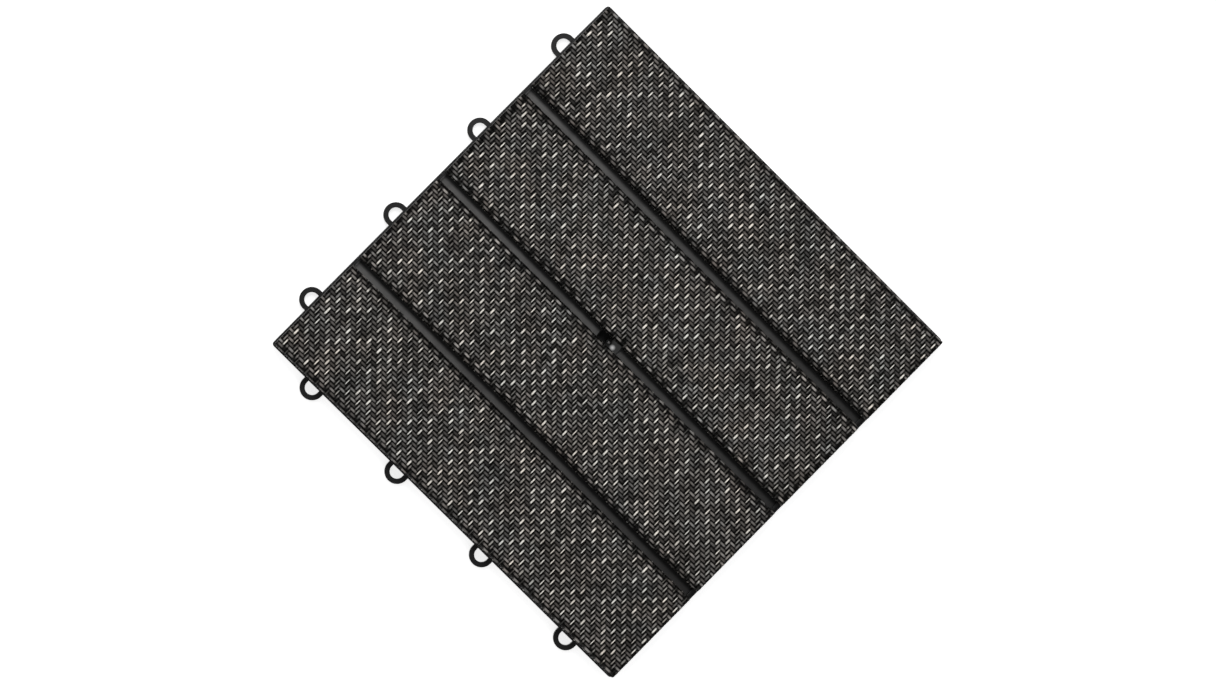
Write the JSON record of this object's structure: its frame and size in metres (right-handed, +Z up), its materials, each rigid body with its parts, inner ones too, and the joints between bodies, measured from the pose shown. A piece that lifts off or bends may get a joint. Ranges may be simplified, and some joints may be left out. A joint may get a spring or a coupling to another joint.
{
  "type": "interlocking deck tile",
  "caption": "Square floor tile of boards wrapped in woven vinyl, screwed to a black moulded base whose snap loops and pegs lock it to its neighbours.",
  "frame": {"origin": "on the ground under the middle of the square tile, in the plane of the feet", "axes": "+Z up; the boards run along Y; snap loops stand out of the -X and +Y sides"},
  "size_m": [0.3096, 0.3096, 0.0232],
  "materials": {
    "base_plastic": "moulded satin",
    "board": "sawn matt",
    "woven_vinyl": "coated yarn, twill weave",
    "screw_steel": "plain"
  },
  "bodies": {
    "root": {"base_grid": "base_plastic", "slat_core_1": "board", "woven_cover_1": "woven_vinyl", "slat_screws_1": "screw_steel", "slat_core_2": "board", "woven_cover_2": "woven_vinyl", "slat_screws_2": "screw_steel", "slat_core_3": "board", "woven_cover_3": "woven_vinyl", "slat_screws_3": "screw_steel", "slat_core_4": "board", "woven_cover_4": "woven_vinyl", "slat_screws_4": "screw_steel"}
  },
  "joints": []
}
